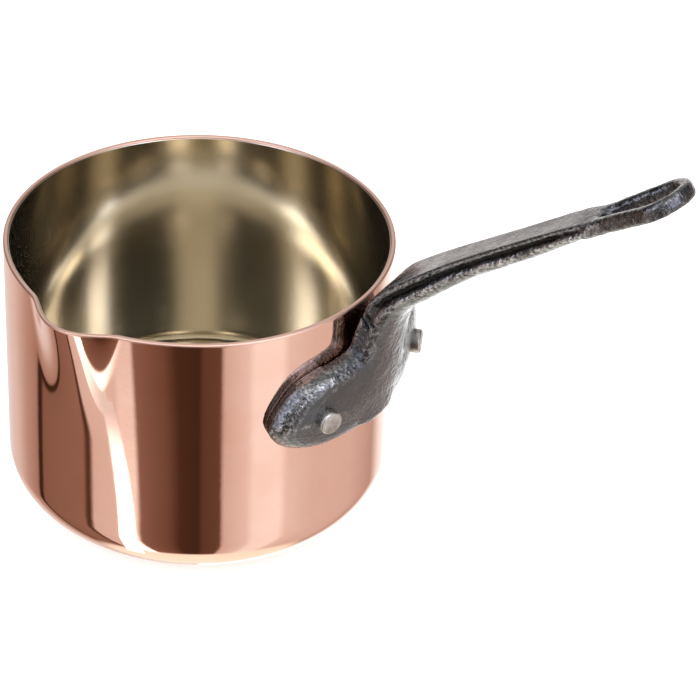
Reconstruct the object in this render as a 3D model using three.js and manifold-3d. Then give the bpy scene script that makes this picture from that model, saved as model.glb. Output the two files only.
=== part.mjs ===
// Copper saucepan with a pouring spout, a bonded lining and a cast-iron handle held by two rivets.
//
// Millimetres, +Z up. The origin is the centre of the flat base, on the axis of the pan. The handle runs
// out along +X, and the spout opens about a quarter turn clockwise from it, seen from above.

import * as THREE from 'three';
import { mergeVertices } from 'three/addons/utils/BufferGeometryUtils.js';
import Module from 'manifold-3d';

const wasm = await Module();
wasm.setup();

// ---- Driving dimensions ----

const PAN_RADIUS = 70; // outside of the copper wall
const PAN_HEIGHT = 103; // table to the top of the rim
const COPPER = 1.4; // thickness of the copper
const LINING = 0.4; // thickness of the lining
const BOND = 0.3; // gap left between the copper and its lining
const CORNER_RADIUS = 17; // outside, where the wall turns into the base
const RIM_DROP = 0.7; // the lining stops this far below the rounded copper rim

const SPOUT_ANGLE = -96 * Math.PI / 180; // from the handle, about +Z
const SPOUT_HALF_ANGLE = 15.5 * Math.PI / 180; // at the rim
const SPOUT_REACH = 7.8; // how far the lip stands out of the round
const SPOUT_DEPTH = 44; // how far down the wall the spout fades away
const SPOUT_NARROWING = 0.5; // share of its width that the spout loses on the way down

const FIT_GAP = 0.3; // clearance between pieces that rest on or pass through each other

const PLATE_HEIGHT = 68.6; // middle of the handle's base plate, above the table
const PLATE_EDGE = 3.5; // thickness of the plate at its edge
const PLATE_CROWN = 9.2; // thickness of the plate at its middle
const PLATE_TAPER = 0.4; // share of its thickness that the plate loses towards its lower edge
const PLATE_DROP = 14.5; // from the plate's middle down to its lower edge

const RIVET_ANGLE = 22 * Math.PI / 180; // each rivet from the handle's plane
const RIVET_HEIGHT = 68.6;
const SHANK_RADIUS = 2.5;
const HEAD_RADIUS = 4.4;
const SEAT_RADIUS = 78.6; // flat seat of the outer head, from the axis of the pan
const OUTER_HEAD = 2.8; // how far the outer head stands out of its seat
const INNER_HEAD = 2; // thickness of the head inside the pan
const HEAD_EDGE = 0.7; // chamfer round each head
const INNER_CLEARANCE = 0.5; // between the flat inner head and the curved lining, at the rivet's axis
const INSIDE_PAN = 55; // a distance from the pan's axis that is well inside the wall
const OUTSIDE_PLATE = 95; // and one that is well outside the handle's plate

const ARM_SLOPE = 35.5 * Math.PI / 180; // of the straight part of the handle
const EYE_CENTRE = new THREE.Vector3(176.8, 0, 179.4); // middle of the round end of the hanging eye
const EYE_HOLE_RADIUS = 7.5; // of the hole's round end
const EYE_HOLE_NARROW = 4; // of the hole's end nearer the pan
const EYE_HOLE_SPAN = 19.5; // between the centres of those two ends
const EYE_END_RADIUS = 11.7; // outside of the eye's round end
const EYE_THICKNESS = 5.4;
const EYE_BEVEL = 2;

// ---- Materials ----

const material = (color, roughness, metalness) =>
  new THREE.MeshStandardMaterial({ color, roughness, metalness });
const copper = material(0xe0a184, 0.12, 1);
const steelLining = material(0xcfc8b0, 0.35, 1);
const castIron = material(0x2b2a29, 0.5, 0.7);
const rivetMetal = material(0xb9b4a8, 0.35, 1);

// ---- Booleans ----

// A closed geometry as a solid: only its positions are kept, and shared corners are merged.
function solid(geometry) {
  geometry.deleteAttribute('normal');
  geometry.deleteAttribute('uv');
  const merged = mergeVertices(geometry, 1e-4);
  return new wasm.Manifold(new wasm.Mesh({
    numProp: 3,
    vertProperties: new Float32Array(merged.attributes.position.array),
    triVerts: new Uint32Array(merged.index.array),
  }));
}

function geometryOf(manifold) {
  const mesh = manifold.getMesh();
  const geometry = new THREE.BufferGeometry();
  geometry.setAttribute('position', new THREE.BufferAttribute(mesh.vertProperties, 3));
  geometry.setIndex(new THREE.BufferAttribute(mesh.triVerts, 1));
  geometry.computeVertexNormals();
  return geometry;
}

// Moves every vertex of a geometry by a function that changes it in place.
function reshape(geometry, move) {
  const position = geometry.attributes.position;
  const point = new THREE.Vector3();
  for (let i = 0; i < position.count; i += 1) {
    move(point.fromBufferAttribute(position, i));
    position.setXYZ(i, point.x, point.y, point.z);
  }
  return geometry;
}

// ---- Pan: the copper body and the lining inside it ----

const PAN_SEGMENTS = 72;
const CROWDING = 0.6; // how strongly the pan's facets crowd towards the spout
const WALL_LEVELS = 7; // rings of vertices down the spout

// How far the wall is pushed out at an angle from the middle of the spout and a height above the table:
// a smooth hump across the lip, which gets narrower and shallower on its way down the wall.
function spoutPush(angle, height) {
  const depth = (PAN_HEIGHT - height) / SPOUT_DEPTH;
  if (depth >= 1) return 0;
  const across = angle / (SPOUT_HALF_ANGLE * (1 - SPOUT_NARROWING * Math.max(depth, 0)));
  if (Math.abs(across) >= 1) return 0;
  return SPOUT_REACH * (1 - depth) ** 2 * (1 - across ** 2) ** 1.5;
}

// Half of the section of a pan, from the middle of its underside, up the outside to the rim and back down
// the inside. "inset" is the distance from the copper's outside to the outside of this layer.
function panProfile(inset, thickness, top) {
  const arc = (layerInset, from, to) => {
    const radius = CORNER_RADIUS - layerInset;
    const centre = PAN_RADIUS - CORNER_RADIUS;
    const steps = 5;
    return Array.from({ length: steps + 1 }, (_, i) => {
      const angle = from + (to - from) * i / steps;
      return new THREE.Vector2(
        centre + radius * Math.sin(angle),
        CORNER_RADIUS - radius * Math.cos(angle),
      );
    });
  };
  const wall = (layerInset) => Array.from({ length: WALL_LEVELS }, (_, i) => {
    const drop = RIM_DROP + BOND + SPOUT_DEPTH * (i / (WALL_LEVELS - 1)) ** 1.3;
    return new THREE.Vector2(PAN_RADIUS - layerInset, PAN_HEIGHT - drop);
  });
  const inner = inset + thickness;
  return [
    new THREE.Vector2(0, inset),
    ...arc(inset, 0, Math.PI / 2),
    ...wall(inset).reverse(),
    new THREE.Vector2(PAN_RADIUS - inset - thickness / 2, top),
    ...wall(inner),
    ...arc(inner, Math.PI / 2, 0),
    new THREE.Vector2(0, inner),
  ];
}

function panLayer(inset, thickness, top) {
  const geometry = new THREE.LatheGeometry(panProfile(inset, thickness, top), PAN_SEGMENTS);
  geometry.rotateX(Math.PI / 2);
  return solid(reshape(geometry, (point) => {
    const radius = Math.hypot(point.x, point.y);
    if (radius === 0) return;
    const turn = 2 * Math.PI;
    const offset = Math.atan2(point.y, point.x) - SPOUT_ANGLE;
    const even = offset - turn * Math.round(offset / turn);
    const angle = even - CROWDING * Math.sin(even);
    const pushed = radius + spoutPush(angle, point.z);
    point.x = pushed * Math.cos(angle + SPOUT_ANGLE);
    point.y = pushed * Math.sin(angle + SPOUT_ANGLE);
  }));
}

// ---- Rivets ----

// A round bar along the line of one rivet, between two distances from the axis of the pan.
function rivetBar(side, radius, from, to) {
  const bar = new THREE.CylinderGeometry(radius, radius, to - from, 24);
  bar.rotateZ(-Math.PI / 2);
  bar.translate((from + to) / 2, 0, RIVET_HEIGHT);
  bar.rotateZ(side * RIVET_ANGLE);
  return solid(bar);
}

// One turned piece: the flat head inside the pan, the shank, and the button head on the plate.
function rivetGeometry() {
  const innerFace = PAN_RADIUS - COPPER - BOND - LINING - INNER_CLEARANCE;
  const outerFace = SEAT_RADIUS + OUTER_HEAD;
  const profile = [
    [0, innerFace - INNER_HEAD],
    [HEAD_RADIUS - HEAD_EDGE, innerFace - INNER_HEAD],
    [HEAD_RADIUS, innerFace - INNER_HEAD + HEAD_EDGE],
    [HEAD_RADIUS, innerFace],
    [SHANK_RADIUS, innerFace],
    [SHANK_RADIUS, SEAT_RADIUS],
    [HEAD_RADIUS, SEAT_RADIUS],
    [HEAD_RADIUS, outerFace - HEAD_EDGE],
    [HEAD_RADIUS - HEAD_EDGE, outerFace],
    [0, outerFace],
  ];
  return new THREE.LatheGeometry(profile.map(([x, y]) => new THREE.Vector2(x, y)), 24);
}

// ---- Handle: one casting of a base plate, an arm and a hanging eye ----

// The plate: a crowned button whose round outline is stretched to the plate's own outline, and which is
// then bent round the wall. Its outline is drawn on the wall as distance round it and height.
function basePlate() {
  const half = [[45.5, -3], [41.5, 7], [32, 15], [18, 18.5]];
  const underside = [[20, -PLATE_DROP], [38, -11.5]];
  const mirrored = (points) => points.map(([x, y]) => [-x, y]).reverse();
  const outline = new THREE.CatmullRomCurve3(
    [...half, [0, 21], ...mirrored(half), ...mirrored(underside), [0, -PLATE_DROP], ...underside]
      .map(([x, y]) => new THREE.Vector3(x, y, 0)),
    true,
  );
  const button = [
    [0, 0], [0.25, 0], [0.5, 0], [0.75, 0], [1, 0],
    [1, PLATE_EDGE], [0.95, 0.65 * PLATE_CROWN], [0.86, 0.87 * PLATE_CROWN], [0.7, 0.95 * PLATE_CROWN],
    [0.35, PLATE_CROWN], [0, PLATE_CROWN],
  ];
  const geometry = new THREE.LatheGeometry(button.map(([x, y]) => new THREE.Vector2(x, y)), 48);
  geometry.rotateX(Math.PI / 2);
  return solid(reshape(geometry, (point) => {
    const share = Math.hypot(point.x, point.y);
    const turn = Math.atan2(point.y, point.x) / (2 * Math.PI);
    const edge = outline.getPoint((turn + 1) % 1);
    const angle = share * edge.x / PAN_RADIUS;
    const rise = share * edge.y;
    const taper = 1 - PLATE_TAPER * THREE.MathUtils.clamp(-rise / PLATE_DROP, 0, 1);
    const radius = PAN_RADIUS + FIT_GAP + point.z * taper;
    point.set(radius * Math.cos(angle), radius * Math.sin(angle), PLATE_HEIGHT + rise);
  }));
}

// The arm: a round bar whose sections are stretched to a flat-topped oval along a curved centre line.
// Each station gives the reach and height of the centre line, and the section's width and thickness.
const ARM_STATIONS = [
  { reach: 76.5, height: 84, width: 34, thickness: 11 },
  { reach: 77.6, height: 97, width: 23, thickness: 11 },
  { reach: 84, height: 108.6, width: 21, thickness: 11 },
  { reach: 94, height: 118.4, width: 20, thickness: 10.2 },
  { reach: 109.5, height: 131, width: 15.5, thickness: 8.7 },
  { reach: 131.2, height: 146.4, width: 14.5, thickness: 8 },
  { reach: 153, height: 162.3, width: 16.8, thickness: 6.2 },
];

function arm() {
  const centreLine = new THREE.CatmullRomCurve3(
    ARM_STATIONS.map(({ reach, height }) => new THREE.Vector3(reach, 0, height)),
  );
  const section = new THREE.CatmullRomCurve3(
    ARM_STATIONS.map(({ width, thickness }) => new THREE.Vector3(width / 2, thickness / 2, 0)),
  );
  const bar = new THREE.CylinderGeometry(1, 1, 1, 20, 18);
  return solid(reshape(bar, (point) => {
    const along = THREE.MathUtils.clamp(point.y + 0.5, 0, 1);
    const centre = centreLine.getPoint(along);
    const tangent = centreLine.getTangent(along);
    const half = section.getPoint(along);
    const squareness = point.z > 0 ? 0.45 : 0.9;
    const across = -Math.sign(point.x) * Math.abs(point.x) ** squareness * half.x;
    const up = Math.sign(point.z) * Math.abs(point.z) ** squareness * half.y;
    point.set(centre.x - tangent.z * up, across, centre.z + tangent.x * up);
  }));
}

// The eye: a flat paddle with a round end and rounded edges, and a tapered hole through it to hang the
// pan by. It is drawn in its own plane, with the round end's centre at the origin, and tilted into place.
function eye() {
  const rootLength = 31;
  const rootHalfWidth = 6.2;
  const outer = EYE_END_RADIUS - EYE_BEVEL;
  const outline = new THREE.Shape();
  outline.moveTo(-rootLength, -rootHalfWidth);
  outline.bezierCurveTo(-22, -rootHalfWidth, -14, -outer, 0, -outer);
  outline.absarc(0, 0, outer, -Math.PI / 2, Math.PI / 2, false);
  outline.bezierCurveTo(-14, outer, -22, rootHalfWidth, -rootLength, rootHalfWidth);

  const hole = new THREE.Path();
  const lean = Math.asin((EYE_HOLE_RADIUS - EYE_HOLE_NARROW) / EYE_HOLE_SPAN);
  const wide = EYE_HOLE_RADIUS + EYE_BEVEL;
  const narrow = EYE_HOLE_NARROW + EYE_BEVEL;
  hole.absarc(0, 0, wide, Math.PI / 2 + lean, -Math.PI / 2 - lean, true);
  hole.absarc(-EYE_HOLE_SPAN, 0, narrow, -Math.PI / 2 - lean, Math.PI / 2 + lean, true);
  hole.closePath();
  outline.holes.push(hole);

  const geometry = new THREE.ExtrudeGeometry(outline, {
    depth: EYE_THICKNESS - 2 * EYE_BEVEL,
    curveSegments: 10,
    bevelThickness: EYE_BEVEL,
    bevelSize: EYE_BEVEL,
    bevelSegments: 2,
  });
  geometry.translate(0, 0, EYE_BEVEL - EYE_THICKNESS / 2);
  geometry.rotateY(-ARM_SLOPE);
  geometry.translate(EYE_CENTRE.x, EYE_CENTRE.y, EYE_CENTRE.z);
  return solid(geometry);
}

// The room that the pan takes up, with its fitting gap, is cut away from the back of the casting.
function panRoom() {
  const geometry = new THREE.CylinderGeometry(PAN_RADIUS + FIT_GAP, PAN_RADIUS + FIT_GAP, PAN_HEIGHT, 120);
  geometry.rotateX(Math.PI / 2);
  geometry.translate(0, 0, PAN_HEIGHT / 2);
  return solid(geometry);
}

// ---- Assembly ----

const SIDES = { left: 1, right: -1 };

// Cuts a clearance hole for each rivet's shank through a solid.
function drilled(body) {
  return Object.values(SIDES).reduce(
    (rest, side) => rest.subtract(rivetBar(side, SHANK_RADIUS + FIT_GAP, INSIDE_PAN, OUTSIDE_PLATE)),
    body,
  );
}

// Cuts a flat seat into the plate under each outer head.
function spotFaced(body) {
  const seat = SEAT_RADIUS - FIT_GAP;
  return Object.values(SIDES).reduce(
    (rest, side) => rest.subtract(rivetBar(side, HEAD_RADIUS + FIT_GAP, seat, OUTSIDE_PLATE)),
    body,
  );
}

const saucepan = new THREE.Group();

function add(name, geometry, finish) {
  const mesh = new THREE.Mesh(geometry, finish);
  mesh.name = name;
  saucepan.add(mesh);
  return mesh;
}

add('copper_body', geometryOf(drilled(panLayer(0, COPPER, PAN_HEIGHT))), copper);

const lining = panLayer(COPPER + BOND, LINING, PAN_HEIGHT - RIM_DROP);
add('lining', geometryOf(drilled(lining)), steelLining);

const casting = basePlate().add(arm()).add(eye()).subtract(panRoom());
add('handle', geometryOf(spotFaced(drilled(casting))), castIron);

for (const [side, sign] of Object.entries(SIDES)) {
  const rivet = add(`rivet_${side}`, rivetGeometry(), rivetMetal);
  const axle = new THREE.Matrix4().makeRotationZ(-Math.PI / 2);
  const place = new THREE.Matrix4().makeRotationZ(sign * RIVET_ANGLE);
  rivet.position.z = RIVET_HEIGHT;
  rivet.setRotationFromMatrix(place.multiply(axle));
}

export default saucepan;
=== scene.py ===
import math

import bmesh
import bpy
import numpy as np
from mathutils import Matrix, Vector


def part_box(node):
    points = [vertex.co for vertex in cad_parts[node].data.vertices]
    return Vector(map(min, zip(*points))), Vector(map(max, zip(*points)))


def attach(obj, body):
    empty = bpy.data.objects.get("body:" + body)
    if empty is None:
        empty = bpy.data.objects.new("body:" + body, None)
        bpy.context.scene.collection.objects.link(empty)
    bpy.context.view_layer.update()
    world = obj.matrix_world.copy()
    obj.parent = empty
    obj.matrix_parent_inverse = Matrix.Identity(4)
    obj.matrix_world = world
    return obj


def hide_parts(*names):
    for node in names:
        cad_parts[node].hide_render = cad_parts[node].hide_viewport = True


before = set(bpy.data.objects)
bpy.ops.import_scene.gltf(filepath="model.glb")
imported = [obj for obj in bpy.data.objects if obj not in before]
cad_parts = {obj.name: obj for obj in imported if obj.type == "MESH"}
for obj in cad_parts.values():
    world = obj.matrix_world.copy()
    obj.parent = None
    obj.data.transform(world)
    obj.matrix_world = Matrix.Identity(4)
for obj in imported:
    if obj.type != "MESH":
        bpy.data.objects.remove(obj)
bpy.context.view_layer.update()  # metres, +Z up, the origin under the middle of the pan, +X along the handle


# ---- Camera ----
# A long lens on a tripod, a little above the pan, with the handle pointing away to the right and the
# spout towards the left. It is tipped down by about 35 degrees and rolled by 2.

STUDIO_TURN = math.radians(33.5)  # from the pan's +X, along the handle, round to the studio's right
CAMERA_PLACE = (0.5308, -0.8019, 0.7170)
CAMERA_YAW = 0.0571 - STUDIO_TURN  # clockwise from +Y, seen from above
CAMERA_PITCH = 0.6032  # below the horizon
CAMERA_ROLL = 0.0379
CAMERA_LENS = 164.57  # mm, on a 36 mm sensor

ahead = np.array([
    math.sin(CAMERA_YAW) * math.cos(CAMERA_PITCH),
    math.cos(CAMERA_YAW) * math.cos(CAMERA_PITCH),
    -math.sin(CAMERA_PITCH),
])
level = np.array([math.cos(CAMERA_YAW), -math.sin(CAMERA_YAW), 0.0])
over = np.cross(level, ahead)
right = math.cos(CAMERA_ROLL) * level + math.sin(CAMERA_ROLL) * over
up = math.cos(CAMERA_ROLL) * over - math.sin(CAMERA_ROLL) * level

camera = bpy.data.objects.new("camera", bpy.data.cameras.new("camera"))
camera.data.lens = CAMERA_LENS
camera.data.sensor_width = 36.0
camera.data.clip_start = 0.01
camera.data.clip_end = 50.0
camera.matrix_world = Matrix([
    [right[0], up[0], -ahead[0], CAMERA_PLACE[0]],
    [right[1], up[1], -ahead[1], CAMERA_PLACE[1]],
    [right[2], up[2], -ahead[2], CAMERA_PLACE[2]],
    [0.0, 0.0, 0.0, 1.0],
])
bpy.context.scene.collection.objects.link(camera)
bpy.context.scene.camera = camera


# ---- Studio ----
# A white sweep of paper under the pan and a ring of light and dark cards round it. Polished metal shows
# the cards, and everything else is lit by the plain white room.

FLOOR_HALF = 7.0
FLOOR_DROP = 0.0002  # the paper lies this far under the pan's base
CARD_TURN = math.radians(270) - STUDIO_TURN  # puts the seam of the ring of cards behind the pan

# Round the pan below the horizon: share of a turn, and how bright the card is there.
LOW_CARDS = [
    (0.000, 0.90), (0.110, 0.76), (0.150, 0.52), (0.182, 0.40), (0.187, 0.05), (0.195, 0.05), (0.200, 0.25),
    (0.296, 0.30), (0.302, 0.08), (0.310, 0.10), (0.316, 0.74), (0.395, 0.82), (0.402, 0.27), (0.450, 0.17),
    (0.470, 0.07), (0.500, 0.06), (0.507, 0.12), (0.535, 0.14), (0.541, 0.70), (0.580, 0.86), (0.592, 1.04),
    (0.638, 1.06), (0.652, 0.86), (0.700, 0.76), (0.790, 0.72), (0.860, 0.55), (0.890, 1.00), (0.950, 1.60),
]
# And above the horizon.
HIGH_CARDS = [
    (0.000, 0.62), (0.060, 0.52), (0.095, 0.10), (0.130, 0.03), (0.250, 0.03), (0.318, 0.12), (0.350, 2.30),
    (0.392, 2.30), (0.420, 0.40), (0.470, 0.25), (0.530, 0.30), (0.555, 0.90), (0.590, 2.70), (0.632, 2.30),
    (0.668, 0.50), (0.720, 0.08), (0.870, 0.04), (0.925, 0.20), (0.965, 0.62), (1.000, 0.62),
]
STEEP_CARD = (0.366, 0.399, 2.2)  # a white card low down beside the spout: from, to, brightness
KEY_LIGHT = (0.45, 0.61, 3.4)  # a soft box high over the camera: from, to, brightness
CEILING = 0.8  # brightness straight overhead
PAPER_GLOW = (1.25, 1.2, 1.08)  # the paper close under the pan, seen in its rounded corner
PAPER_LIGHT = 0.55  # the paper's own light, which keeps it pale
ROOM = 1.12  # plain white light on everything that isn't polished


def node_link(tree):
    """Short ways to add a node and to join two sockets in one node tree."""
    def add(kind, **settings):
        node = tree.nodes.new(kind)
        for name, value in settings.items():
            setattr(node, name, value)
        return node

    def math_node(operation, *inputs):
        node = add("ShaderNodeMath", operation=operation)
        for socket, value in zip(node.inputs, inputs):
            if isinstance(value, (int, float)):
                socket.default_value = value
            else:
                tree.links.new(value, socket)
        return node.outputs[0]

    return add, math_node, tree.links.new


def set_ramp(node, stops):
    """Sets a colour ramp's stops from (place, colour) pairs, each colour a grey or a triple."""
    ramp = node.color_ramp
    while len(ramp.elements) > 1:
        ramp.elements.remove(ramp.elements[-1])
    for index, (place, colour) in enumerate(stops):
        element = ramp.elements[0] if index == 0 else ramp.elements.new(place)
        element.position = place
        rgb = (colour,) * 3 if isinstance(colour, (int, float)) else colour
        element.color = (*rgb, 1.0)


def warm(value):
    """The dim cards are warmer: green and blue fall off faster than red below full brightness."""
    dim = min(value, 1.0)
    return (value, value * (0.42 + 0.58 * dim), value * (0.22 + 0.78 * dim))


def cool(value):
    """The brightest cards are a little bluer, as daylight is beside a lamp."""
    over = min(max(value - 0.6, 0.0), 1.0)
    return (value, value * (1 + 0.08 * over), value * (1 + 0.34 * over))


world = bpy.data.worlds.new("studio")
world.use_nodes = True
bpy.context.scene.world = world
world.node_tree.nodes.clear()
add, calc, link = node_link(world.node_tree)

direction = add("ShaderNodeSeparateXYZ")
link(add("ShaderNodeTexCoord").outputs["Generated"], direction.inputs[0])
turn = calc("ARCTAN2", direction.outputs["Y"], direction.outputs["X"])
share = calc("FRACT", calc("DIVIDE", calc("ADD", turn, CARD_TURN), 2 * math.pi))

low = add("ShaderNodeValToRGB")
set_ramp(low, [(place, warm(value)) for place, value in LOW_CARDS])
link(share, low.inputs[0])
high = add("ShaderNodeValToRGB")
set_ramp(high, [(place, cool(value)) for place, value in HIGH_CARDS])
link(share, high.inputs[0])


def blend_colours(factor, first, second):
    """Mixes two colours, each a socket or a triple, by a factor socket."""
    mix = add("ShaderNodeMix", data_type="RGBA", clamp_factor=True)
    link(factor, mix.inputs["Factor"])
    for socket, value in ((mix.inputs[6], first), (mix.inputs[7], second)):
        if isinstance(value, tuple):
            socket.default_value = (*value, 1.0)
        else:
            link(value, socket)
    return mix.outputs[2]


def between(value, start, end):
    """0 below start, 1 above end, and smooth between them."""
    node = add("ShaderNodeMapRange", interpolation_type="SMOOTHSTEP")
    link(value, node.inputs["Value"])
    node.inputs["From Min"].default_value = start
    node.inputs["From Max"].default_value = end
    return node.outputs["Result"]


rise = direction.outputs["Z"]
walls = blend_colours(between(rise, -0.12, 0.12), low.outputs[0], high.outputs[0])
sink = calc("MULTIPLY", rise, -1.0)


def sector(start, end, softness=0.006):
    """1 between two shares of a turn, with soft ends."""
    return calc("MULTIPLY", between(share, start - softness, start + softness),
                calc("SUBTRACT", 1.0, between(share, end - softness, end + softness)))


start, end, glow = STEEP_CARD
walls = blend_colours(calc("MULTIPLY", sector(start, end), between(sink, 0.58, 0.68)), walls, (glow,) * 3)
walls = blend_colours(between(sink, 0.885, 0.94), walls, PAPER_GLOW)
cards = blend_colours(between(rise, 0.72, 0.9), walls, (CEILING,) * 3)
start, end, glow = KEY_LIGHT
high_up = calc("MULTIPLY", between(rise, 0.66, 0.74), calc("SUBTRACT", 1.0, between(rise, 0.88, 0.94)))
cards = blend_colours(calc("MULTIPLY", sector(start, end, 0.02), high_up), cards, (glow,) * 3)

path = add("ShaderNodeLightPath")
plain = blend_colours(path.outputs["Is Camera Ray"], (ROOM,) * 3, (1.0, 1.0, 1.0))
shown = blend_colours(path.outputs["Is Glossy Ray"], plain, cards)
background = add("ShaderNodeBackground")
link(shown, background.inputs["Color"])
link(background.outputs[0], add("ShaderNodeOutputWorld").inputs["Surface"])

floor_mesh = bpy.data.meshes.new("floor")
corner = FLOOR_HALF
floor_mesh.from_pydata(
    [(-corner, -corner, -FLOOR_DROP), (corner, -corner, -FLOOR_DROP),
     (corner, corner, -FLOOR_DROP), (-corner, corner, -FLOOR_DROP)], [], [(0, 1, 2, 3)])
floor = bpy.data.objects.new("floor", floor_mesh)
bpy.context.scene.collection.objects.link(floor)
floor.visible_glossy = False

paper = bpy.data.materials.new("paper")
paper.use_nodes = True
paper_shader = paper.node_tree.nodes["Principled BSDF"]
paper_shader.inputs["Base Color"].default_value = (0.9, 0.9, 0.9, 1.0)
paper_shader.inputs["Roughness"].default_value = 0.9
paper_shader.inputs["Specular IOR Level"].default_value = 0.0
paper_shader.inputs["Emission Color"].default_value = (1.0, 1.0, 1.0, 1.0)
paper_shader.inputs["Emission Strength"].default_value = PAPER_LIGHT
floor_mesh.materials.append(paper)

# A strip of white card on the table by the spout, seen only in the copper. It starts against the wall and
# leads away along the line of sight mirrored there, at twice the angle round the pan plus a quarter turn.
CARD_START = math.radians(-111) + STUDIO_TURN
CARD_BEND = math.radians(-6.5)
CARD_HALF_ANGLE = math.radians(3.1)
CARD_TAPER = 0.35  # share of its width that it loses by its far end
CARD_RADIUS = 0.0699  # from the pan's axis to where the strip starts
CARD_LENGTH = 0.100
CARD_FADE = (0.62, 0.9)  # it is in shade beyond this share of its length: from, to
CARD_GLOW = 2.0
CARD_LIFT = 0.0002
CARD_STEPS = 16

along = np.linspace(0, 1, CARD_STEPS)[:, None]
spread = CARD_HALF_ANGLE * (1 - CARD_TAPER * along) * np.array([-1.0, 1.0])
angle = CARD_START + CARD_BEND * along ** 2 + spread
sight = 2 * angle + math.radians(90) - STUDIO_TURN
strip = np.stack([CARD_RADIUS * np.cos(angle) + CARD_LENGTH * along * np.cos(sight),
                  CARD_RADIUS * np.sin(angle) + CARD_LENGTH * along * np.sin(sight),
                  np.full(angle.shape, CARD_LIFT)], -1)
first = np.arange(0, 2 * CARD_STEPS - 2, 2)
card_mesh = bpy.data.meshes.new("white_card")
card_mesh.from_pydata(strip.reshape(-1, 3).tolist(), [],
                      np.stack([first, first + 1, first + 3, first + 2], -1).tolist())
glow = np.repeat(np.clip((CARD_FADE[1] - along[:, 0]) / (CARD_FADE[1] - CARD_FADE[0]), 0, 1), 2)
card_mesh.attributes.new("glow", "FLOAT", "POINT").data.foreach_set("value", glow.astype(np.float32))
card = bpy.data.objects.new("white_card", card_mesh)
bpy.context.scene.collection.objects.link(card)
card.visible_camera = card.visible_diffuse = card.visible_shadow = False
white = bpy.data.materials.new("white_card")
white.use_nodes = True
white_shader = white.node_tree.nodes["Principled BSDF"]
add, calc, link = node_link(white.node_tree)
link(add("ShaderNodeAttribute", attribute_name="glow").outputs["Fac"], white_shader.inputs["Emission Color"])
white_shader.inputs["Emission Strength"].default_value = CARD_GLOW
card_mesh.materials.append(white)

bpy.context.scene.view_settings.view_transform = "Standard"


# ---- Copper body ----
# One sheet of copper spun to a straight-sided pot with a rounded corner, its rim rolled round and beaten
# out into a pouring lip. The outside is polished to a mirror, with the faint lines of the polishing wheel.

MM = 0.001
PAN_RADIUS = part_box("copper_body")[1].y - 0.00002
PAN_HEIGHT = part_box("copper_body")[1].z
SHEET = 1.85 * MM  # the copper alone
CORNER_RADIUS = 17 * MM
SPOUT_ANGLE = math.radians(-96)
SPOUT_HALF_ANGLE = math.radians(17.5)
SPOUT_REACH = 6.75 * MM
SPOUT_DEPTH = 50 * MM
SPOUT_NARROWING = 0.5
EASE_ANGLE = math.radians(-91)  # the wall also bulges a little, wide and deep, where the spout was beaten out
EASE_HALF_ANGLE = math.radians(34)
EASE_REACH = 1.0 * MM
EASE_DEPTH = 88 * MM
EASE_NARROWING = 0.2
RIM_HAZE = 0.4  # how much rougher the rim is than the polished wall
RIM_BAND = (1.2 * MM, 0.5 * MM)  # below the rim's top: where that starts, and where it is in full
RIM_SQUARENESS = (0.8, 0.6)  # across and up: below 1 the roll of the rim is squarer than a half circle
AROUND = 480  # steps round the pan


def spout_push(angle, height):
    """How far the wall is pushed out: reach x (1 - depth)^2 x (1 - across^2)^2, where depth is the share
    of the spout's depth below the rim and across is the angle from its middle over its half angle there,
    plus a wider, deeper and much shallower bulge of the same kind."""
    def swell(middle, half_angle, reach, deep, narrowing):
        depth = np.clip((PAN_HEIGHT - height) / deep, 0, 1)
        offset = (angle - middle + math.pi) % (2 * math.pi) - math.pi
        across = np.clip(offset / (half_angle * (1 - narrowing * depth)), -1, 1)
        return reach * (1 - depth) ** 2 * (1 - across ** 2) ** 2

    return (swell(SPOUT_ANGLE, SPOUT_HALF_ANGLE, SPOUT_REACH, SPOUT_DEPTH, SPOUT_NARROWING)
            + swell(EASE_ANGLE, EASE_HALF_ANGLE, EASE_REACH, EASE_DEPTH, EASE_NARROWING))


def turned(radii, heights):
    """Rings of a profile turned about +Z, at radius + spout push; returns the rings without the two ends
    on the axis, and those ends as poles."""
    angle = np.arange(AROUND) * (2 * math.pi / AROUND)
    radius, height = radii[1:-1, None], heights[1:-1, None]
    pushed = radius + spout_push(angle, height)
    rings = np.stack(np.broadcast_arrays(pushed * np.cos(angle), pushed * np.sin(angle), height), -1)
    poles = np.array([[0, 0, heights[0]], [0, 0, heights[-1]]])
    return rings, poles


def ring_surface(rings, poles=None):
    """A surface through closed rings, an array (ring, step, xyz). Quads join each ring to the next. With
    poles a fan closes each end; without, the last ring is joined to the first."""
    count, around = rings.shape[:2]
    index = np.arange(count * around).reshape(count, around)
    if poles is None:
        index = np.vstack([index, index[:1]])
    beside = np.roll(index, -1, axis=1)
    quads = np.stack([index[:-1], beside[:-1], beside[1:], index[1:]], -1).reshape(-1, 4).tolist()
    points = rings.reshape(-1, 3)
    if poles is not None:
        start = np.full(around, len(points))
        quads += np.stack([start, beside[0], index[0]], -1).tolist()
        quads += np.stack([start + 1, index[-1], beside[-1]], -1).tolist()
        points = np.vstack([points, poles])
    return points, quads


def piece(name, surfaces, finish, stands_for):
    """One object from a list of surfaces, faces outward and smooth, with its place in the frame."""
    points, faces, first = [], [], 0
    for surface_points, surface_faces in surfaces:
        points.append(surface_points)
        faces += [[corner + first for corner in face] for face in surface_faces]
        first += len(surface_points)
    mesh = bpy.data.meshes.new(name)
    mesh.from_pydata(np.vstack(points).tolist(), [], faces)
    shell = bmesh.new()
    shell.from_mesh(mesh)
    bmesh.ops.recalc_face_normals(shell, faces=shell.faces)
    shell.to_mesh(mesh)
    shell.free()
    mesh.polygons.foreach_set("use_smooth", np.ones(len(mesh.polygons), bool))
    mesh.materials.append(finish)
    body = bpy.data.objects.new(name, mesh)
    bpy.context.scene.collection.objects.link(body)
    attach(body, "root")
    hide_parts(stands_for)
    return body


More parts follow.
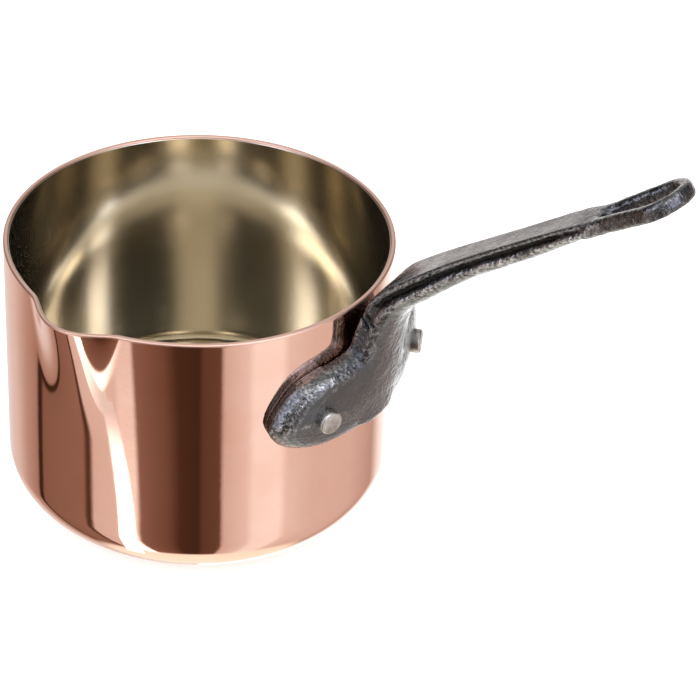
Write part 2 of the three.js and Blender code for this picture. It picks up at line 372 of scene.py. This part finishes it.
def squared(wave, power):
    """A sine or a cosine with a squarer swing: |wave|^power, with the wave's own sign."""
    return np.sign(wave) * np.abs(wave) ** power


def pan_side(inset, drop, steps):
    """Half a section of one side of the sheet, from the axis to the rim: flat base, quarter-round corner,
    straight wall. inset is the distance in from the outside, drop how far below the rim it ends. The rings
    lie closer towards the rim, where the spout bends the wall."""
    base_steps, corner_steps, wall_steps = steps
    middle = PAN_RADIUS - CORNER_RADIUS
    bend = np.linspace(0, math.pi / 2, corner_steps)
    round_off = CORNER_RADIUS - inset
    fall = SPOUT_DEPTH + 4 * MM
    low_wall = np.linspace(CORNER_RADIUS, PAN_HEIGHT - fall, 10)[1:]
    spout_wall = PAN_HEIGHT - drop - (fall - drop) * np.linspace(1, 0, wall_steps)[1:] ** 1.3
    radii = np.concatenate([
        middle * np.linspace(0, 1, base_steps)[:-1],
        middle + round_off * np.sin(bend),
        np.full(len(low_wall) + len(spout_wall), PAN_RADIUS - inset),
    ])
    heights = np.concatenate([
        np.full(base_steps - 1, inset), CORNER_RADIUS - round_off * np.cos(bend), low_wall, spout_wall,
    ])
    return radii, heights


def new_group(name, inputs, outputs):
    """An empty node group; inputs are (name, value) pairs and outputs names of plain values."""
    group = bpy.data.node_groups.new(name, "ShaderNodeTree")
    for label, value in inputs:
        socket = group.interface.new_socket(label, in_out="INPUT", socket_type="NodeSocketFloat")
        socket.default_value = value
    for label in outputs:
        group.interface.new_socket(label, in_out="OUTPUT", socket_type="NodeSocketFloat")
    add, calc, link = node_link(group)
    return group, add("NodeGroupInput"), add("NodeGroupOutput"), add, calc, link


# The marks of a polishing wheel on turned metal: noise that hardly changes round the pan but changes
# quickly with height plus radius, so the lines are level on the wall and rings on the base.
wheel_lines, source, result, add, calc, link = new_group(
    "wheel_lines", [("Lines per metre", 2500.0), ("Length", 12.0), ("Detail", 2.0)], ["Lines"])
place = add("ShaderNodeTexCoord").outputs["Object"]
parts = add("ShaderNodeSeparateXYZ")
link(place, parts.inputs[0])
flat_radius = calc("SQRT", calc("ADD", calc("MULTIPLY", parts.outputs[0], parts.outputs[0]),
                                calc("MULTIPLY", parts.outputs[1], parts.outputs[1])))
across_lines = calc("MULTIPLY", calc("ADD", parts.outputs[2], flat_radius), source.outputs["Lines per metre"])
joined = add("ShaderNodeCombineXYZ")
link(calc("MULTIPLY", parts.outputs[0], source.outputs["Length"]), joined.inputs[0])
link(calc("MULTIPLY", parts.outputs[1], source.outputs["Length"]), joined.inputs[1])
link(across_lines, joined.inputs[2])
streaks = add("ShaderNodeTexNoise")
streaks.inputs["Scale"].default_value = 1.0
link(source.outputs["Detail"], streaks.inputs["Detail"])
link(joined.outputs[0], streaks.inputs["Vector"])
link(streaks.outputs[0], result.inputs["Lines"])

# Handling marks: broad soft patches broken up by finer ones, from 0 where the metal is clean to 1.
smudges, source, result, add, calc, link = new_group(
    "smudges", [("Scale", 40.0), ("Cover", 0.5), ("Softness", 0.25)], ["Mask"])
place = add("ShaderNodeTexCoord").outputs["Object"]
cloud = add("ShaderNodeTexNoise")
cloud.inputs["Detail"].default_value = 5.0
cloud.inputs["Roughness"].default_value = 0.6
link(source.outputs["Scale"], cloud.inputs["Scale"])
link(place, cloud.inputs["Vector"])
edge = add("ShaderNodeMapRange", interpolation_type="SMOOTHSTEP")
link(cloud.outputs[0], edge.inputs["Value"])
link(calc("SUBTRACT", source.outputs["Cover"], source.outputs["Softness"]), edge.inputs["From Min"])
link(calc("ADD", source.outputs["Cover"], source.outputs["Softness"]), edge.inputs["From Max"])
link(edge.outputs[0], result.inputs["Mask"])


def new_material(name, **shader_values):
    """A material with one Principled shader whose plain sockets are set by name."""
    made = bpy.data.materials.new(name)
    made.use_nodes = True
    shader = made.node_tree.nodes["Principled BSDF"]
    for label, value in shader_values.items():
        shader.inputs[label.replace("_", " ")].default_value = value
    return (made, shader) + node_link(made.node_tree)


def placed(add, group, **values):
    """A group set into a material with its own values."""
    node = add("ShaderNodeGroup", node_tree=group)
    for label, value in values.items():
        node.inputs[label.replace("_", " ")].default_value = value
    return node


def colour_between(add, link, factor, first, second):
    """A colour that goes from first to second with a factor socket."""
    mix = add("ShaderNodeMix", data_type="RGBA")
    link(factor, mix.inputs["Factor"])
    mix.inputs[6].default_value = (*first, 1.0)
    mix.inputs[7].default_value = (*second, 1.0)
    return mix.outputs[2]


def value_between(add, link, factor, first, second):
    """A number that goes from first to second with a factor socket."""
    node = add("ShaderNodeMapRange")
    link(factor, node.inputs["Value"])
    node.inputs["To Min"].default_value = first
    node.inputs["To Max"].default_value = second
    return node.outputs[0]


def bump(add, link, height, distance, strength=1.0, under=None):
    """A bump from a height socket, in metres of relief, on top of another bump if one is given."""
    node = add("ShaderNodeBump")
    node.inputs["Distance"].default_value = distance
    node.inputs["Strength"].default_value = strength
    link(height, node.inputs["Height"])
    if under is not None:
        link(under, node.inputs["Normal"])
    return node.outputs[0]


copper, shader, add, calc, link = new_material("polished_copper", Metallic=1.0)
lines = placed(add, wheel_lines, Lines_per_metre=3200.0, Length=9.0, Detail=3.0)
marks = placed(add, smudges, Scale=32.0, Cover=0.56, Softness=0.16)
link(colour_between(add, link, marks.outputs[0], (0.955, 0.634, 0.512), (0.93, 0.588, 0.462)),
     shader.inputs["Base Color"])
height = add("ShaderNodeSeparateXYZ")
link(add("ShaderNodeTexCoord").outputs["Object"], height.inputs[0])
rim_rub = add("ShaderNodeMapRange")
link(height.outputs[2], rim_rub.inputs["Value"])
rim_rub.inputs["From Min"].default_value = PAN_HEIGHT - RIM_BAND[0]
rim_rub.inputs["From Max"].default_value = PAN_HEIGHT - RIM_BAND[1]
rim_rub.inputs["To Max"].default_value = RIM_HAZE
haze = calc("ADD", value_between(add, link, marks.outputs[0], 0.035, 0.075),
            value_between(add, link, lines.outputs[0], -0.012, 0.02))
link(calc("ADD", haze, rim_rub.outputs[0]), shader.inputs["Roughness"])
ripple = placed(add, smudges, Scale=55.0, Cover=0.5, Softness=0.5)
rippled = bump(add, link, ripple.outputs[0], 0.00004, 0.35)
link(bump(add, link, lines.outputs[0], 0.000003, 0.5, rippled), shader.inputs["Normal"])

outer_radii, outer_heights = pan_side(0, SHEET / 2, (12, 26, 64))
inner_radii, inner_heights = pan_side(SHEET, SHEET / 2, (8, 14, 26))
roll = np.linspace(0, math.pi, 15)[1:-1]
rim_radii = PAN_RADIUS - SHEET / 2 + SHEET / 2 * squared(np.cos(roll), RIM_SQUARENESS[0])
rim_heights = PAN_HEIGHT - SHEET / 2 + SHEET / 2 * squared(np.sin(roll), RIM_SQUARENESS[1])
rings, poles = turned(np.concatenate([outer_radii, rim_radii, inner_radii[::-1]]),
                      np.concatenate([outer_heights, rim_heights, inner_heights[::-1]]))
piece("copper_body_polished", [ring_surface(rings, poles)], copper, "copper_body")


# ---- Lining ----
# A thin sheet of pale steel bonded to the inside of the copper before the pot is spun, so it follows it
# everywhere and ends just inside the rim. It is left satin, brushed round and round the pan.

LINING_SHEET = 0.25 * MM
LINING_DROP = 0.75 * MM

lining, shader, add, calc, link = new_material("brushed_lining", Metallic=1.0, Anisotropic=0.3)
tangent = add("ShaderNodeTangent", direction_type="RADIAL", axis="Z")
link(tangent.outputs[0], shader.inputs["Tangent"])
lines = placed(add, wheel_lines, Lines_per_metre=2600.0, Length=14.0, Detail=4.0)
marks = placed(add, smudges, Scale=24.0, Cover=0.55, Softness=0.3)
link(colour_between(add, link, marks.outputs[0], (0.83, 0.76, 0.63), (0.79, 0.715, 0.585)),
     shader.inputs["Base Color"])
satin = calc("ADD", value_between(add, link, marks.outputs[0], 0.10, 0.14),
             value_between(add, link, lines.outputs[0], -0.02, 0.03))
link(satin, shader.inputs["Roughness"])
link(bump(add, link, lines.outputs[0], 0.000006, 0.6), shader.inputs["Normal"])

outer_radii, outer_heights = pan_side(SHEET, LINING_DROP, (8, 14, 26))
inner_radii, inner_heights = pan_side(SHEET + LINING_SHEET, LINING_DROP, (14, 30, 64))
rings, poles = turned(np.concatenate([outer_radii, inner_radii[::-1]]),
                      np.concatenate([outer_heights, inner_heights[::-1]]))
piece("lining_brushed", [ring_surface(rings, poles)], lining, "lining")


# ---- Handle ----
# One sand casting in iron: a crowned plate that hugs the wall, an arm with a flat top and a round belly,
# and a looped eye to hang it by. It is left rough, blackened and oiled, and worn brighter on its high spots.

PLATE_HEIGHT = 68.6 * MM  # middle of the plate
PLATE_BACK = PAN_RADIUS + 0.05 * MM  # radius of the plate's hollow back
PLATE_EDGE = 3.5 * MM
PLATE_CROWN = 9.2 * MM
PLATE_TAPER = 0.4  # share of its thickness that the plate loses down to its lower edge
PLATE_DROP = 14.5 * MM
PLATE_WRAP = PAN_RADIUS + 0.1 * MM  # the radius that the plate's outline is measured round
# Half of the plate's outline, from its middle line: distance round the wall and rise, in mm.
PLATE_OVER = [(45.4, -3), (44.4, 1.6), (41.5, 6.7), (37.4, 11.8), (32.5, 14.9), (25.8, 16.9), (18, 18.6)]
PLATE_TOP = [(0, 20.4)]
PLATE_FOOT = [(0, -14.5)]
PLATE_UNDER = [(20, -14.5), (29, -14), (35, -12.5), (39, -11), (42.7, -8)]
# Share of the way from the plate's middle to its outline, and how thick it is there.
PLATE_BUTTON = [(1.0, PLATE_EDGE), (0.985, 4.6 * MM), (0.955, 6.2 * MM), (0.91, 7.6 * MM), (0.85, 8.4 * MM),
                (0.76, 8.8 * MM), (0.6, 9.0 * MM), (0.35, PLATE_CROWN), (0.12, PLATE_CROWN)]
# The arm's centre line as reach and height, then the section's width and thickness, all in mm.
ARM_STATIONS = [
    (72.4, 56.0, 24.0, 9.6), (73.4, 66.0, 30.0, 10.2), (74.6, 76.0, 31.0, 10.8), (75.8, 86.0, 29.0, 11.2),
    (78.3, 97.8, 25.6, 11.4), (83.5, 108.9, 23.0, 11.2), (94.0, 118.5, 20.8, 10.5),
    (109.5, 131.1, 16.2, 8.9), (131.2, 146.5, 15.0, 8.2), (146.0, 157.4, 16.4, 7.0),
    (151.5, 161.4, 17.0, 6.2), (157.0, 165.3, 14.5, 4.8),
]
EYE_CENTRE = (176.5 * MM, 179.05 * MM)
EYE_SLOPE = math.radians(35.5)
EYE_HOLE = (7.5 * MM, 3.9 * MM)  # radius of the hole's outer end and of its inner end
EYE_SPAN = 19.5 * MM  # between the middles of those two ends
EYE_RAIL = (2.05 * MM, 2.85 * MM)  # half the width and half the thickness of the loop
EYE_ROOT = (8.4 * MM, 4.6 * MM)  # half the width of the arm there, and the most for half the rail's width
EYE_SQUARENESS = 0.62  # below 1 the loop's section is squarer than an oval
VOXEL = 0.46 * MM
# Where the arm grows out of the plate and the loop out of the arm, in wide cast fillets: the middle and the
# radius of each in mm, how full it is, and how many times it is smoothed.
FILLETS = [((78.0, 0, 84.0), 27.0, 2.2, 90), ((153.5, 0, 162.8), 13.0, 2.0, 14)]
# Sizes of the unevenness that the sand leaves: two sizes of waves, then grain, then grit.
WAVES = (3.2 * MM, 1.7 * MM)
GRAIN = 0.9 * MM
GRIT = 0.55 * MM
# Two short nicks in the casting, on the side of the neck: the reach and height of the ends of each, in mm.
NECK_NICKS = [((74.4, 101.9), (77.0, 98.9)), ((76.4, 103.1), (79.0, 100.1))]
NICK_DEPTH = 1.0 * MM
NICK_WIDTH = 0.6 * MM


def smooth_through(points, count, closed=False):
    """A Catmull-Rom curve through the points, sampled at count even steps of its parameter."""
    points = np.asarray(points, float)
    if closed:
        padded = np.vstack([points[-1:], points, points[:2]])
    else:
        padded = np.vstack([2 * points[:1] - points[1:2], points, 2 * points[-1:] - points[-2:-1]])
    spans = len(padded) - 3
    place = np.linspace(0, spans, count, endpoint=not closed)
    span = np.minimum(place.astype(int), spans - 1)
    t = (place - span)[:, None]
    a, b, c, d = (padded[span + i] for i in range(4))
    return 0.5 * (2 * b + (c - a) * t + (2 * a - 5 * b + 4 * c - d) * t ** 2
                  + (3 * b - a - 3 * c + d) * t ** 3)


def base_plate(around=240):
    """A crowned button with its round outline stretched to the plate's, bent round the wall: the angle is
    distance round / wrap radius, and the radius is the back's plus a thickness that tapers downwards."""
    over = PLATE_OVER + PLATE_TOP + [(-x, y) for x, y in reversed(PLATE_OVER)]
    under = [(-x, y) for x, y in reversed(PLATE_UNDER)] + PLATE_FOOT + PLATE_UNDER
    outline = smooth_through(over + under, around, closed=True) * MM
    back = [(share, 0.0) for share in (0.1, 0.4, 0.7, 0.9, 1.0)]
    share, thickness = np.array(back + [(1.0, PLATE_EDGE * 0.5)] + PLATE_BUTTON).T
    round_wall = share[:, None] * outline[:, 0]
    rise = share[:, None] * outline[:, 1]
    taper = 1 - PLATE_TAPER * np.clip(-rise / PLATE_DROP, 0, 1)
    radius = PLATE_BACK + thickness[:, None] * taper
    angle = round_wall / PLATE_WRAP
    rings = np.stack([radius * np.cos(angle), radius * np.sin(angle), PLATE_HEIGHT + rise], -1)
    return ring_surface(rings, rings[[0, -1]].mean(axis=1))


def arm_line(count):
    """The arm's centre line in the XZ plane, its unit tangent, and the half width and half thickness."""
    stations = smooth_through(ARM_STATIONS, count) * MM
    centre, half = stations[:, :2], stations[:, 2:] / 2
    tangent = np.gradient(centre, axis=0)
    return centre, tangent / np.linalg.norm(tangent, axis=1, keepdims=True), half


# Half of the arm's section, as shares of its half width and half thickness: a flat top with a firm edge,
# a hollow under it, the bulge of the parting line and a round belly.
ARM_SECTION = [(0.0, 1.0), (0.5, 1.0), (0.93, 1.0), (1.0, 0.88), (0.95, 0.6), (0.9, 0.34), (0.97, 0.1),
               (1.0, -0.1), (0.95, -0.38), (0.8, -0.68), (0.48, -0.92), (0.0, -1.0)]


def arm(count=90, around=96):
    """The section, drawn as a closed curve through its points and their mirror images, carried along the
    centre line and stretched to the half width and half thickness there."""
    centre, tangent, half = arm_line(count)
    mirrored = [(-x, y) for x, y in reversed(ARM_SECTION[1:-1])]
    across, up = smooth_through(ARM_SECTION + mirrored, around, closed=True).T
    wide, high = half[:, :1] * across, half[:, 1:] * up
    rings = np.stack([centre[:, :1] - tangent[:, 1:] * high, wide, centre[:, 1:] + tangent[:, :1] * high], -1)
    return ring_surface(rings, rings[[0, -1]].mean(axis=1))


def eye_point(along, across, up):
    """A point of the eye, which lies in its own sloping plane, in the frame of the pan."""
    x = EYE_CENTRE[0] + along * math.cos(EYE_SLOPE) - up * math.sin(EYE_SLOPE)
    z = EYE_CENTRE[1] + along * math.sin(EYE_SLOPE) + up * math.cos(EYE_SLOPE)
    return np.stack(np.broadcast_arrays(x, across, z), -1)


def eye_loop(around=200, section=40):
    """A squarish oval section carried round the hole: the path is the hole's outline, a stretched drop, moved
    out by half the rail's width. Round the root the rail widens by 1 / sin of the angle, until its outer edge
    runs on into the sides of the arm."""
    wide, narrow = EYE_HOLE
    lean = math.asin((wide - narrow) / EYE_SPAN)
    outer = np.linspace(-math.pi / 2 - lean, math.pi / 2 + lean, around // 2)
    inner = np.linspace(math.pi / 2 + lean, 1.5 * math.pi - lean, around // 4)
    path = np.concatenate([
        np.stack([wide * np.cos(outer), wide * np.sin(outer)], -1),
        np.stack([-EYE_SPAN + narrow * np.cos(inner), narrow * np.sin(inner)], -1),
    ])
    step = np.linalg.norm(np.diff(np.vstack([path, path[:1]]), axis=0), axis=1)
    length = np.concatenate([[0], np.cumsum(step)])
    even = np.linspace(0, length[-1], around, endpoint=False)
    closed = np.vstack([path, path[:1]])
    path = np.stack([np.interp(even, length, closed[:, i]) for i in range(2)], -1)
    tangent = np.roll(path, -1, axis=0) - np.roll(path, 1, axis=0)
    tangent /= np.linalg.norm(tangent, axis=1, keepdims=True)
    outward = np.stack([tangent[:, 1], -tangent[:, 0]], -1)
    past = np.clip(-EYE_SPAN - path[:, 0], 0, None)
    slant = np.hypot(past, path[:, 1]) / np.maximum(np.abs(path[:, 1]), 0.1 * MM)
    at_root = np.minimum((EYE_ROOT[0] * slant - narrow) / 2, EYE_ROOT[1])
    half_wide = np.where(past > 0, at_root, EYE_RAIL[0])
    middle = path + outward * half_wide[:, None]
    turn = np.arange(section) * (2 * math.pi / section)
    side = squared(np.cos(turn), EYE_SQUARENESS)
    top = squared(np.sin(turn), EYE_SQUARENESS)
    along = middle[:, :1] + outward[:, :1] * half_wide[:, None] * side
    across = middle[:, 1:] + outward[:, 1:] * half_wide[:, None] * side
    return ring_surface(eye_point(along, across, EYE_RAIL[1] * top + 0 * along))


def speckle(points, size, seed):
    """Smooth noise from -1 to 1: seeded random values on a cubic lattice of the given size, blended between
    its corners with weights 3t^2 - 2t^3."""
    values = np.random.default_rng(seed).uniform(-1, 1, (32, 32, 32))
    cell = np.floor(points / size).astype(int)
    t = points / size - cell
    weight = t * t * (3 - 2 * t)
    total = np.zeros(len(points))
    for corner in range(8):
        bits = np.array([corner & 1, corner >> 1 & 1, corner >> 2 & 1])
        share = np.where(bits, weight, 1 - weight).prod(axis=1)
        i, j, k = ((cell + bits) % 32).T
        total += share * values[i, j, k]
    return total


def apply_modifiers(body):
    """Makes the live modifiers part of the mesh."""
    bpy.context.view_layer.update()
    shaped = bpy.data.meshes.new_from_object(body.evaluated_get(bpy.context.evaluated_depsgraph_get()))
    body.modifiers.clear()
    body.data = shaped


iron, shader, add, calc, link = new_material("cast_iron", Coat_Roughness=0.1, Coat_IOR=1.6)
wear = add("ShaderNodeAttribute", attribute_name="wear").outputs["Fac"]
place = add("ShaderNodeTexCoord").outputs["Object"]
grains = add("ShaderNodeTexNoise")
grains.inputs["Scale"].default_value = 950.0
grains.inputs["Detail"].default_value = 3.0
link(place, grains.inputs["Vector"])
pits = add("ShaderNodeTexVoronoi")
pits.inputs["Scale"].default_value = 700.0
link(place, pits.inputs["Vector"])
oil = placed(add, smudges, Scale=110.0, Cover=0.5, Softness=0.2)
skin = colour_between(add, link, oil.outputs[0], (0.036, 0.036, 0.037), (0.1, 0.1, 0.102))
bare = add("ShaderNodeMix", data_type="RGBA")
link(wear, bare.inputs["Factor"])
link(skin, bare.inputs[6])
bare.inputs[7].default_value = (0.7, 0.69, 0.68, 1.0)
# Painted shade: where the surface sinks in, in the groove and in the nicks, the colour goes near black.
painted_shade = add("ShaderNodeAttribute", attribute_name="painted_shade").outputs["Fac"]
shaded_colour = add("ShaderNodeMix", data_type="RGBA")
link(painted_shade, shaded_colour.inputs["Factor"])
link(bare.outputs[2], shaded_colour.inputs[6])
shaded_colour.inputs[7].default_value = (0.012, 0.011, 0.01, 1.0)
link(shaded_colour.outputs[2], shader.inputs["Base Color"])
link(value_between(add, link, wear, 0.9, 1.0), shader.inputs["Metallic"])
link(calc("ADD", value_between(add, link, oil.outputs[0], 0.16, 0.33),
          value_between(add, link, grains.outputs[0], -0.1, 0.1)), shader.inputs["Roughness"])
# The coat thins in the painted shade, so the hollows reflect little.
link(calc("MULTIPLY", value_between(add, link, oil.outputs[0], 1.0, 0.4),
          value_between(add, link, painted_shade, 1.0, 0.15)), shader.inputs["Coat Weight"])
grained = bump(add, link, grains.outputs[0], 0.0006, 0.8)
link(bump(add, link, pits.outputs[0], 0.0002, 0.4, grained), shader.inputs["Normal"])

handle = piece("handle_casting", [base_plate(), arm(), eye_loop()], iron, "handle")
remesh = handle.modifiers.new("remesh", "REMESH")
remesh.mode = "VOXEL"
remesh.voxel_size = VOXEL
apply_modifiers(handle)

mesh = handle.data
points = np.empty(len(mesh.vertices) * 3, np.float32)
mesh.vertices.foreach_get("co", points)
points = points.reshape(-1, 3).astype(float)
edges = np.empty(len(mesh.edges) * 2, np.int32)
mesh.edges.foreach_get("vertices", edges)
edges = edges.reshape(-1, 2)


def relaxed(values, share, times):
    """Moves every value the given share of the way to the mean of its neighbours, again and again."""
    ends = np.concatenate([edges, edges[:, ::-1]])
    number = np.bincount(ends[:, 0], minlength=len(values))[:, None]
    for _ in range(times):
        total = np.stack([np.bincount(ends[:, 0], values[ends[:, 1], i], len(values))
                          for i in range(values.shape[1])], -1)
        values = values + share[:, None] * (total / number - values)
    return values


def bump_at(middle, radius):
    """1 at a point, falling smoothly to 0 at the given distance from it."""
    return np.clip(1 - ((points - middle) ** 2).sum(axis=1) / radius ** 2, 0, 1) ** 0.5


all_over = np.full(len(points), 0.5)
fillets = [(0.5 * np.clip(full * bump_at(np.array(middle) * MM, radius * MM), 0, 1), times)
           for middle, radius, full, times in FILLETS]
points = relaxed(points, all_over, 3)
for share, times in fillets:
    points = relaxed(points, share, times)

mesh.vertices.foreach_set("co", points.reshape(-1))
mesh.update()
normals = np.empty(len(mesh.vertices) * 3, np.float32)
mesh.vertex_normals.foreach_get("vector", normals)
normals = normals.reshape(-1, 3)
# How far each point stands out from its surroundings: there the casting is rubbed bare, and where it sinks in
# it gets painted shade.
proud = ((points - relaxed(points, all_over, 24)) * normals).sum(axis=1) / (0.15 * MM)

# The height of each point over the arm's centre line, and the parts of the casting: 1 on the arm, 1 on its
# sides and 1 on its flat top.
centre, tangent, half = arm_line(160)
gap = points[:, None, [0, 2]] - centre[None]
nearest = (gap ** 2).sum(axis=2).argmin(axis=1)
offset = np.take_along_axis(gap, nearest[:, None, None], axis=1)[:, 0]
lift = (offset * np.stack([-tangent[nearest, 1], tangent[nearest, 0]], -1)).sum(axis=1)
on_arm = np.clip((nearest - 56) / 14, 0, 1) * np.clip((156 - nearest) / 8, 0, 1)
side = np.clip(np.abs(normals[:, 1]) * 1.6 - 0.3, 0, 1)
top_face = on_arm * np.clip((normals[:, 2] - 0.55) * 5, 0, 1)

# The sand leaves the skin uneven, least on the flat top. The parting line is a ragged fin along the side of
# the arm, with a shallow groove over it.
coarse = speckle(points, WAVES[0], 3) + 0.6 * speckle(points, WAVES[1], 4)
fine = speckle(points, GRAIN, 5)
grit = speckle(points, GRIT, 6)
fin = np.exp(-((lift + 0.2 * MM + 0.4 * MM * coarse) / (0.8 * MM)) ** 2) * on_arm * side
groove = np.exp(-((lift - 0.42 * half[nearest, 1]) / (0.9 * MM)) ** 2) * on_arm * side
calm = 1 - 0.7 * top_face
push = (0.05 * coarse * calm + 0.08 * fine * calm + 0.07 * grit + fin * (0.3 + 0.35 * fine)
        - 0.35 * groove) * MM
nicks = np.zeros(len(points))
for ends in NECK_NICKS:
    foot, tip = np.array(ends) * MM
    gap = points[:, [0, 2]] - foot
    share = np.clip(gap @ (tip - foot) / ((tip - foot) ** 2).sum(), 0, 1)
    away = np.linalg.norm(gap - share[:, None] * (tip - foot), axis=1)
    nicks += np.exp(-(away / NICK_WIDTH) ** 2) * (points[:, 1] < -4 * MM)
push -= NICK_DEPTH * nicks
clear_of_wall = np.clip((np.hypot(points[:, 0], points[:, 1]) - PAN_RADIUS - 0.6 * MM) / (0.8 * MM), 0, 1)
push *= np.where(points[:, 2] < PAN_HEIGHT, clear_of_wall, 1)
points += normals * push[:, None]
mesh.vertices.foreach_set("co", points.reshape(-1))
mesh.update()

# Rubbed bare on the fin and in specks on what stands out, away from the wall; painted shade, near black, in
# the hollows, the groove and the nicks.
off_wall = np.clip((np.hypot(points[:, 0], points[:, 1]) - PAN_RADIUS - 3 * MM) / (2 * MM), 0, 1)
on_eye = np.clip((points[:, 0] - 154 * MM) / (8 * MM), 0, 1)
rubbed = np.clip(1.3 * proud - 0.25, 0, 1) * np.clip(0.35 + 0.6 * fine + 0.8 * grit, 0, 1)
rubbed *= 1 - on_arm * np.where(normals[:, 2] > 0, 0.65, 0.45)
worn = (fin * (0.3 + 0.6 * fine) + rubbed * off_wall * (1 - 0.75 * on_eye)) * (1 - np.clip(2 * nicks, 0, 1))
shade_in_hollows = np.clip(-1.2 * proud - 0.2 + 0.5 * groove - 0.3 * fine, 0, 1) * (1 - top_face) + 1.6 * nicks
for name, value in (("wear", worn), ("painted_shade", shade_in_hollows)):
    value = np.clip(value, 0, 1).astype(np.float32)
    mesh.attributes.new(name, "FLOAT", "POINT").data.foreach_set("value", value)
mesh.polygons.foreach_set("use_smooth", np.ones(len(mesh.polygons), bool))


# ---- Rivets ----
# Two rivets of dull pale metal through the wall and the plate, one each side of the arm. Each has a flat
# head inside the pan, and its outer end is hammered down to a low button on the plate.

RIVET_ANGLE = math.radians(22)
RIVET_HEIGHT = 68.6 * MM
SHANK_RADIUS = 2.5 * MM
HEAD_RADIUS = 4.4 * MM
SEAT_RADIUS = 78.2 * MM  # from the pan's axis to the foot of the button
BUTTON = 3.15 * MM
SHOULDER = (0.8 * MM, 0.95 * MM)  # the rounding of the button's edge: across and along the rivet
INNER_FACE = PAN_RADIUS - SHEET - LINING_SHEET - 0.35 * MM
INNER_HEAD = 2.0 * MM
INNER_ROUND = 0.7 * MM
DENT_SIZE = 2.1 * MM
DENT_DEPTH = 0.09 * MM


def rivet(side, seed, around=72):
    """A profile turned about the rivet's own axis, from the face inside the pan to the hammered one outside,
    whose faces are dented by a few broad blows. Radius is measured from the axis, reach from the pan's."""
    bend = np.linspace(0, math.pi / 2, 8)
    back, front = INNER_FACE - INNER_HEAD, SEAT_RADIUS + BUTTON
    inside = [(radius, back) for radius in np.linspace(0.4, 3.6, 8) * MM]
    edge = [(HEAD_RADIUS - INNER_ROUND * (1 - math.sin(a)), back + INNER_ROUND * (1 - math.cos(a)))
            for a in bend]
    shank = [(HEAD_RADIUS, INNER_FACE), (SHANK_RADIUS, INNER_FACE), (SHANK_RADIUS, SEAT_RADIUS),
             (HEAD_RADIUS - 0.15 * MM, SEAT_RADIUS), (HEAD_RADIUS, SEAT_RADIUS + 0.3 * MM)]
    shoulder = [(HEAD_RADIUS - SHOULDER[0] * (1 - math.cos(a)), front - SHOULDER[1] * (1 - math.sin(a)))
                for a in bend]
    face = [(radius, front + 0.1 * MM * (1 - (radius / (3.6 * MM)) ** 2))
            for radius in np.linspace(3.4, 0.3, 12) * MM]
    radius, reach = np.array(inside + edge + shank + shoulder + face).T
    turn = np.arange(around) * (2 * math.pi / around)
    y, z = radius[:, None] * np.cos(turn), radius[:, None] * np.sin(turn)
    flat = np.stack([y, z, np.zeros_like(y)], -1).reshape(-1, 3)
    dents = speckle(flat + 0.05, DENT_SIZE, seed).reshape(y.shape)
    outer = np.clip((reach - SEAT_RADIUS - 2 * MM) / MM, 0, 1)[:, None]
    x = reach[:, None] + outer * DENT_DEPTH * (dents - 1)
    angle = side * RIVET_ANGLE
    rings = np.stack([x * math.cos(angle) - y * math.sin(angle), x * math.sin(angle) + y * math.cos(angle),
                      RIVET_HEIGHT + z], -1)
    return ring_surface(rings, rings[[0, -1]].mean(axis=1))


rivet_metal, shader, add, calc, link = new_material("rivet_metal", Metallic=1.0)
scuffs = placed(add, smudges, Scale=420.0, Cover=0.52, Softness=0.2)
tarnish = placed(add, smudges, Scale=130.0, Cover=0.58, Softness=0.14)
dull = add("ShaderNodeMix", data_type="RGBA")
link(tarnish.outputs[0], dull.inputs["Factor"])
link(colour_between(add, link, scuffs.outputs[0], (0.68, 0.66, 0.62), (0.56, 0.54, 0.5)), dull.inputs[6])
dull.inputs[7].default_value = (0.34, 0.31, 0.27, 1.0)
link(dull.outputs[2], shader.inputs["Base Color"])
link(value_between(add, link, scuffs.outputs[0], 0.34, 0.5), shader.inputs["Roughness"])
link(bump(add, link, scuffs.outputs[0], 0.00005, 0.4), shader.inputs["Normal"])

piece("rivet_left_hammered", [rivet(1, 11)], rivet_metal, "rivet_left")
piece("rivet_right_hammered", [rivet(-1, 12)], rivet_metal, "rivet_right")
